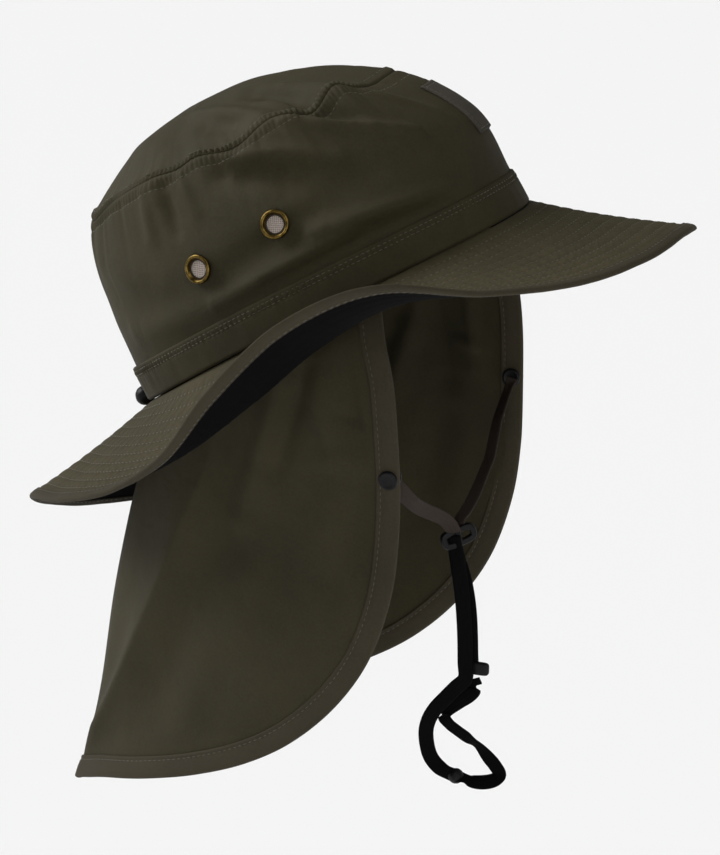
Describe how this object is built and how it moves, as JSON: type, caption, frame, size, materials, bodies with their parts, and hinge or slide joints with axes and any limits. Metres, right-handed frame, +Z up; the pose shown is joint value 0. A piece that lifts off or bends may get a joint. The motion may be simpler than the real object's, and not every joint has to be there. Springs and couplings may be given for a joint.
{
  "type": "sun hat with neck flap",
  "caption": "Wide-brimmed cloth sun hat with a stitched brim, a long neck flap closing round the sides and a flat elastic chin strap with its slider.",
  "frame": {"origin": "centre of the head opening, where the hat sits on a head", "axes": "+X the wearer's front, +Y the wearer's left, +Z up, with the crown pitched back as in the picture so that the flap and the chin strap hang straight down"},
  "size_m": [0.2897, 0.2984, 0.3511],
  "materials": {
    "olive_cloth": "woven nylon with a soft satin sheen",
    "binding_cloth": "folded twill tape with a stitch line",
    "black_cloth": "matt plain weave",
    "label_cloth": "dense woven patch, bare",
    "antique_brass": "antiqued, polished on the high edges",
    "vent_mesh": "fine knitted netting",
    "black_elastic": "flat ribbed elastic",
    "black_plastic": "moulded, satin"
  },
  "bodies": {
    "root": {"crown_wall": "olive_cloth", "crown_tip": "olive_cloth", "crown_band": "olive_cloth", "front_label": "label_cloth", "eyelet_right_front": "antique_brass", "eyelet_right_rear": "antique_brass", "eyelet_left_front": "antique_brass", "eyelet_left_rear": "antique_brass", "vent_mesh_right_front": "vent_mesh", "vent_mesh_right_rear": "vent_mesh", "vent_mesh_left_front": "vent_mesh", "vent_mesh_left_rear": "vent_mesh", "brim_top": "olive_cloth", "brim_underside": "black_cloth", "brim_binding": "binding_cloth", "rear_stopper": "black_plastic", "stopper_cord": "black_elastic", "neck_flap": "olive_cloth", "flap_hem": "binding_cloth", "snap_cap_right": "black_plastic", "snap_socket_right": "black_plastic", "snap_cap_left": "black_plastic", "snap_socket_left": "black_plastic", "strap_right": "black_elastic", "strap_left": "black_elastic", "strap_tail_short": "black_elastic", "strap_tail_long": "black_elastic", "strap_loop_return": "black_elastic", "strap_slider": "black_plastic", "strap_end_tab": "black_plastic", "strap_bead": "black_plastic"}
  },
  "joints": []
}
